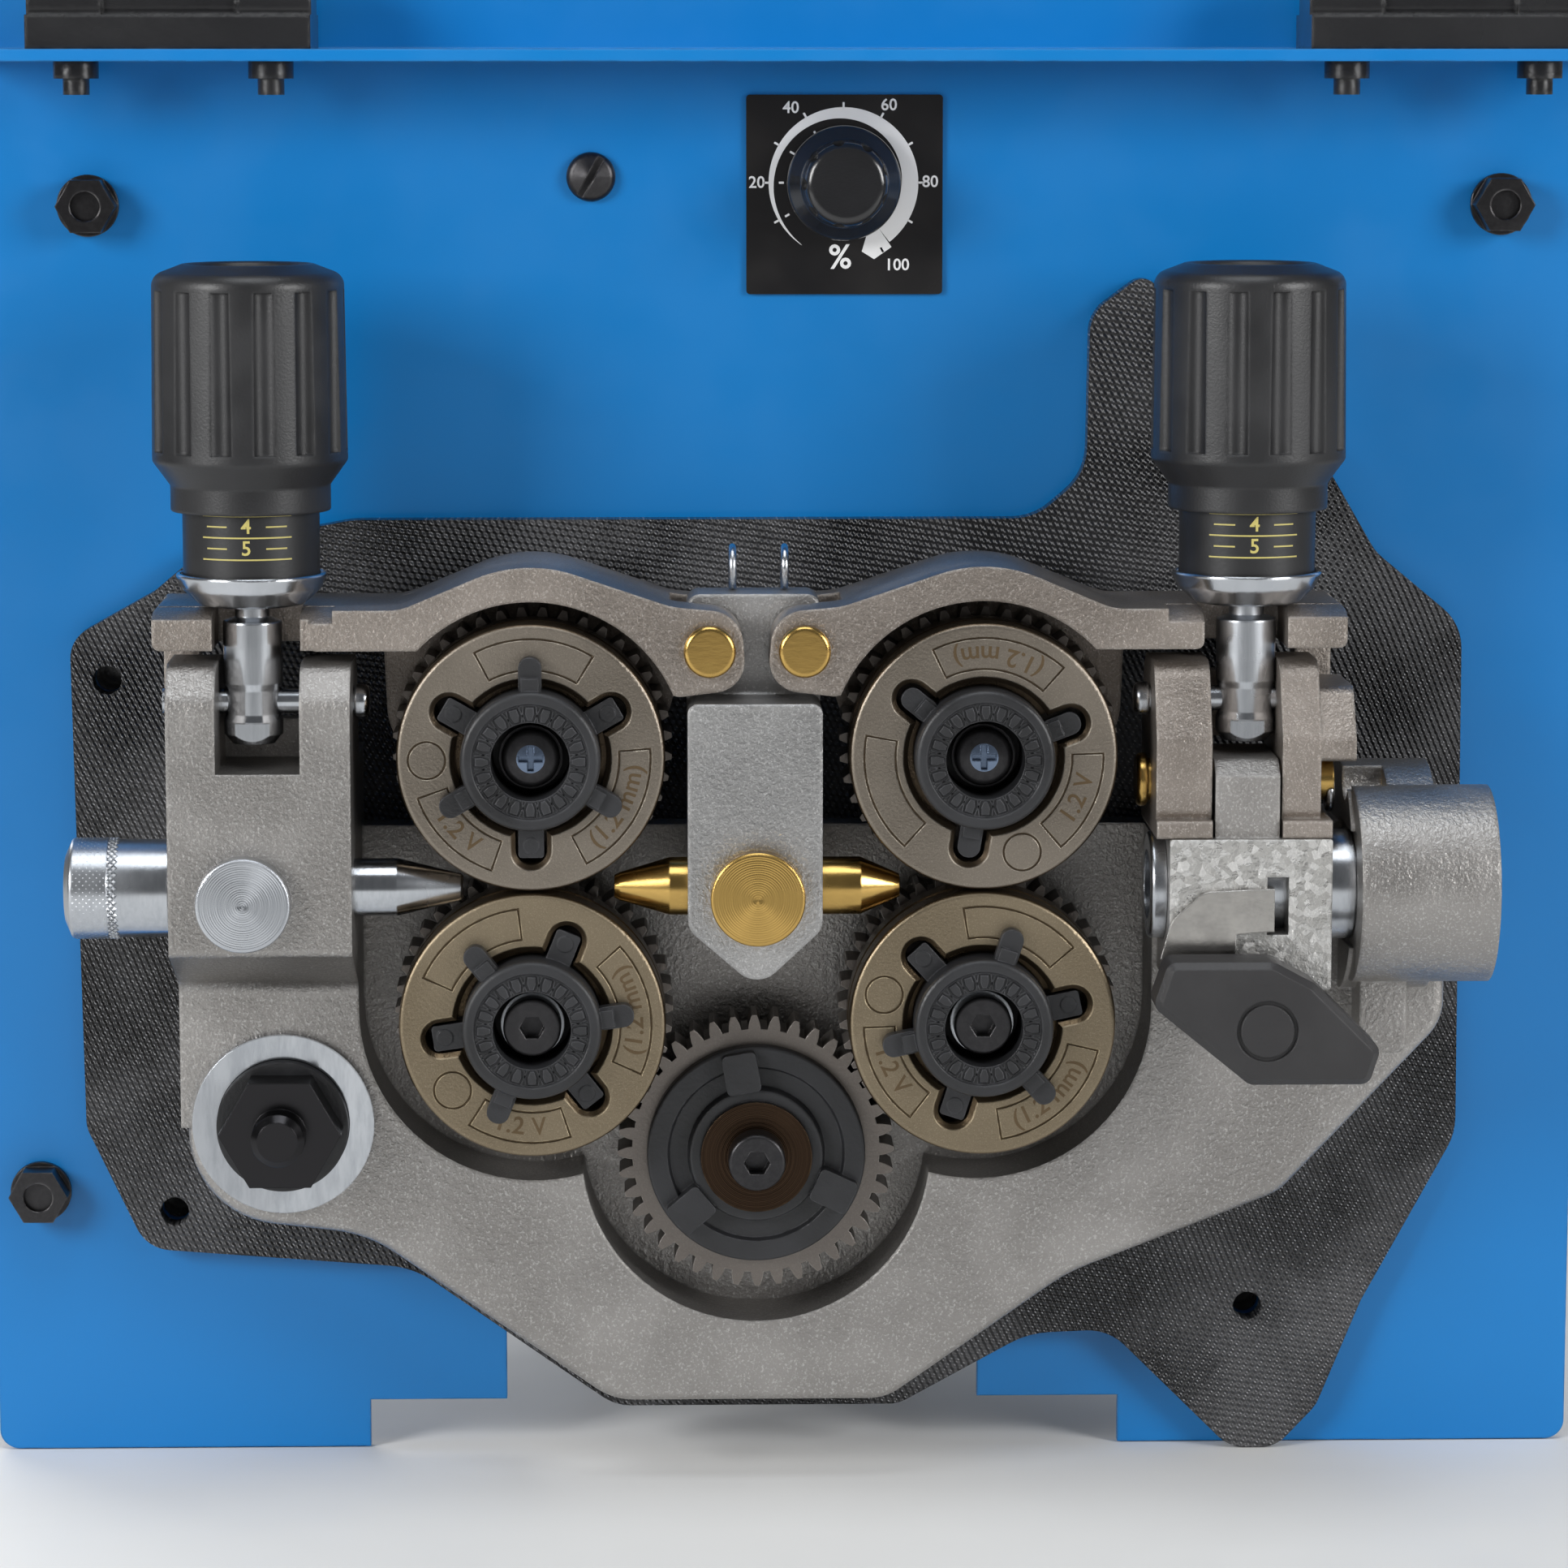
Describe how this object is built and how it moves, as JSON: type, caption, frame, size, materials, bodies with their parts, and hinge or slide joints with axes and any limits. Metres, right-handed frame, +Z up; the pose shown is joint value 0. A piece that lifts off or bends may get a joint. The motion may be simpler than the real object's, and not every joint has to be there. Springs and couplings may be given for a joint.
{
  "type": "wire feeder",
  "caption": "Four-roll welding wire feeder drive with two sprung pressure arms, gear motor, insulated feed plate, gun clamp and run-in speed dial on its chassis panel.",
  "frame": {"origin": "motor shaft's axis in the front face of the chassis panel", "axes": "+X to the gun side along the wire, +Z up, -Y to the operator"},
  "size_m": [0.246, 0.185, 0.2305],
  "materials": {
    "blue_panel": "powder coat, satin",
    "hinge_black": "moulded, satin",
    "black_oxide": "black oxide, oiled",
    "dial_print": "printed overlay, satin",
    "knob_black": "fine moulded texture",
    "pot_steel": "plated",
    "insulator_weave": "woven laminate texture",
    "cast_aluminium": "bead-blasted die casting",
    "post_steel": "milled",
    "zinc_steel": "bright zinc plate",
    "brass": "turned, polished",
    "spring_steel": "satin",
    "chrome_cup": "bright",
    "scale_black": "moulded, printed scale",
    "carrier_plastic": "glass-filled nylon",
    "roll_bronze": "blasted, bronze-coloured plate",
    "gear_steel": "machined teeth",
    "bronze_shaft": "dark bronze collar",
    "gearbox_cast": "die casting",
    "motor_black": "black paint, satin"
  },
  "bodies": {
    "frame": {"arm_pivot_pins": "brass", "bracket_pin": "brass", "chassis_panel": "blue_panel", "chassis_screws": "black_oxide", "clamp_bracket": "cast_aluminium", "clamp_latch": "spring_steel", "dial_plate": "dial_print", "door_hinges": "hinge_black", "drive_housing": "cast_aluminium", "drive_motor": "motor_black", "gearbox_housing": "gearbox_cast", "guide_post": "post_steel", "guide_screw": "brass", "inlet_guide": "zinc_steel", "inlet_screw": "zinc_steel", "insulator_plate": "insulator_weave", "left_clevis_pin": "zinc_steel", "lower_axles": "zinc_steel", "lower_screws": "black_oxide", "middle_guide": "brass", "mount_bush": "carrier_plastic", "mount_stud": "zinc_steel", "receptacle_bush": "zinc_steel", "retaining_clips": "zinc_steel", "right_clevis_pin": "zinc_steel", "speed_potentiometer": "pot_steel"},
    "drive": {"drive_gear": "gear_steel", "drive_shaft": "bronze_shaft", "drive_carrier": "carrier_plastic", "drive_screw": "black_oxide"},
    "lower_left_station": {"lower_left_gear": "gear_steel", "lower_left_carrier": "carrier_plastic", "lower_left_roll": "roll_bronze"},
    "left_pressure_arm": {"left_arm": "cast_aluminium"},
    "left_axle_pin": {"upper_left_axle": "zinc_steel"},
    "upper_left_station": {"upper_left_gear": "gear_steel", "upper_left_carrier": "carrier_plastic", "upper_left_roll": "roll_bronze"},
    "left_swing_rod": {"left_rod": "zinc_steel", "left_spring": "spring_steel"},
    "left_seat": {"left_cup": "chrome_cup", "left_barrel": "scale_black"},
    "left_thrust": {"left_washer": "zinc_steel"},
    "left_adjuster": {"left_knob": "knob_black"},
    "lower_right_station": {"lower_right_gear": "gear_steel", "lower_right_carrier": "carrier_plastic", "lower_right_roll": "roll_bronze"},
    "right_pressure_arm": {"right_arm": "cast_aluminium"},
    "right_axle_pin": {"upper_right_axle": "zinc_steel"},
    "upper_right_station": {"upper_right_gear": "gear_steel", "upper_right_carrier": "carrier_plastic", "upper_right_roll": "roll_bronze"},
    "right_swing_rod": {"right_rod": "zinc_steel", "right_spring": "spring_steel"},
    "right_seat": {"right_cup": "chrome_cup", "right_barrel": "scale_black"},
    "right_thrust": {"right_washer": "zinc_steel"},
    "right_adjuster": {"right_knob": "knob_black"},
    "run_in_knob": {"speed_knob": "knob_black"},
    "gun_clamp": {"clamp_handle": "knob_black"}
  },
  "joints": [
    {"name": "drive_spin", "type": "hinge", "parent": "frame", "child": "drive", "pos_m": [0, 0, 0], "axis": [0, -1, 0], "continuous": true},
    {"name": "lower_left_spin", "type": "hinge", "parent": "frame", "child": "lower_left_station", "pos_m": [-0.0334, 0, 0.02201], "axis": [0, -1, 0], "continuous": true},
    {"name": "left_arm_float", "type": "hinge", "parent": "frame", "child": "left_pressure_arm", "pos_m": [-0.007, 0, 0.0776], "axis": [0, 1, 0], "range_deg": [0, 2.5]},
    {"name": "left_axle_ride", "type": "hinge", "parent": "frame", "child": "left_axle_pin", "pos_m": [-0.07039, 0, 0.04201], "axis": [0, -1, 0], "range_deg": [0, 1.9]},
    {"name": "upper_left_spin", "type": "hinge", "parent": "left_axle_pin", "child": "upper_left_station", "pos_m": [-0.0334, 0, 0.06201], "axis": [0, -1, 0], "continuous": true},
    {"name": "left_rod_swing", "type": "hinge", "parent": "frame", "child": "left_swing_rod", "pos_m": [-0.0746, -0.029, 0.0696], "axis": [1, 0, 0], "range_deg": [0, 80]},
    {"name": "left_seat_lift", "type": "slide", "parent": "left_swing_rod", "child": "left_seat", "axis": [0, 0, 1], "range_m": [0, 0.0034], "deforming": ["left_spring"]},
    {"name": "left_thrust_slide", "type": "slide", "parent": "left_swing_rod", "child": "left_thrust", "axis": [0, 0, 1], "range_m": [-0.00175, 0.00175]},
    {"name": "left_knob_turn", "type": "hinge", "parent": "left_thrust", "child": "left_adjuster", "pos_m": [-0.0746, -0.029, 0.12], "axis": [0, 0, 1], "range_deg": [-360, 360]},
    {"name": "lower_right_spin", "type": "hinge", "parent": "frame", "child": "lower_right_station", "pos_m": [0.0334, 0, 0.02201], "axis": [0, -1, 0], "continuous": true},
    {"name": "right_arm_float", "type": "hinge", "parent": "frame", "child": "right_pressure_arm", "pos_m": [0.007, 0, 0.0776], "axis": [0, -1, 0], "range_deg": [0, 2.5]},
    {"name": "right_axle_ride", "type": "hinge", "parent": "frame", "child": "right_axle_pin", "pos_m": [0.07039, 0, 0.04201], "axis": [0, 1, 0], "range_deg": [0, 1.9]},
    {"name": "upper_right_spin", "type": "hinge", "parent": "right_axle_pin", "child": "upper_right_station", "pos_m": [0.0334, 0, 0.06201], "axis": [0, -1, 0], "continuous": true},
    {"name": "right_rod_swing", "type": "hinge", "parent": "frame", "child": "right_swing_rod", "pos_m": [0.0729, -0.029, 0.0696], "axis": [1, 0, 0], "range_deg": [0, 80]},
    {"name": "right_seat_lift", "type": "slide", "parent": "right_swing_rod", "child": "right_seat", "axis": [0, 0, 1], "range_m": [0, 0.0034], "deforming": ["right_spring"]},
    {"name": "right_thrust_slide", "type": "slide", "parent": "right_swing_rod", "child": "right_thrust", "axis": [0, 0, 1], "range_m": [-0.00175, 0.00175]},
    {"name": "right_knob_turn", "type": "hinge", "parent": "right_thrust", "child": "right_adjuster", "pos_m": [0.0729, -0.029, 0.12], "axis": [0, 0, 1], "range_deg": [-360, 360]},
    {"name": "speed_turn", "type": "hinge", "parent": "frame", "child": "run_in_knob", "pos_m": [0.0139, 0, 0.1452], "axis": [0, -1, 0], "range_deg": [-140, 140]},
    {"name": "clamp_turn", "type": "hinge", "parent": "frame", "child": "gun_clamp", "pos_m": [0.0741, 0, 0.0235], "axis": [0, 1, 0], "range_deg": [0, 90]}
  ],
  "couplings": [
    {"joint": "lower_left_spin", "follows": "drive_spin", "ratio": -1},
    {"joint": "left_axle_ride", "follows": "left_arm_float", "ratio": 0.7291},
    {"joint": "upper_left_spin", "follows": "drive_spin", "ratio": 1},
    {"joint": "left_seat_lift", "follows": "left_arm_float", "m_per_rad": 0.0765},
    {"joint": "left_knob_turn", "follows": "left_thrust_slide", "rad_per_m": 3590.4},
    {"joint": "lower_right_spin", "follows": "drive_spin", "ratio": -1},
    {"joint": "right_axle_ride", "follows": "right_arm_float", "ratio": 0.7291},
    {"joint": "upper_right_spin", "follows": "drive_spin", "ratio": 1},
    {"joint": "right_seat_lift", "follows": "right_arm_float", "m_per_rad": 0.0765},
    {"joint": "right_knob_turn", "follows": "right_thrust_slide", "rad_per_m": 3590.4}
  ]
}
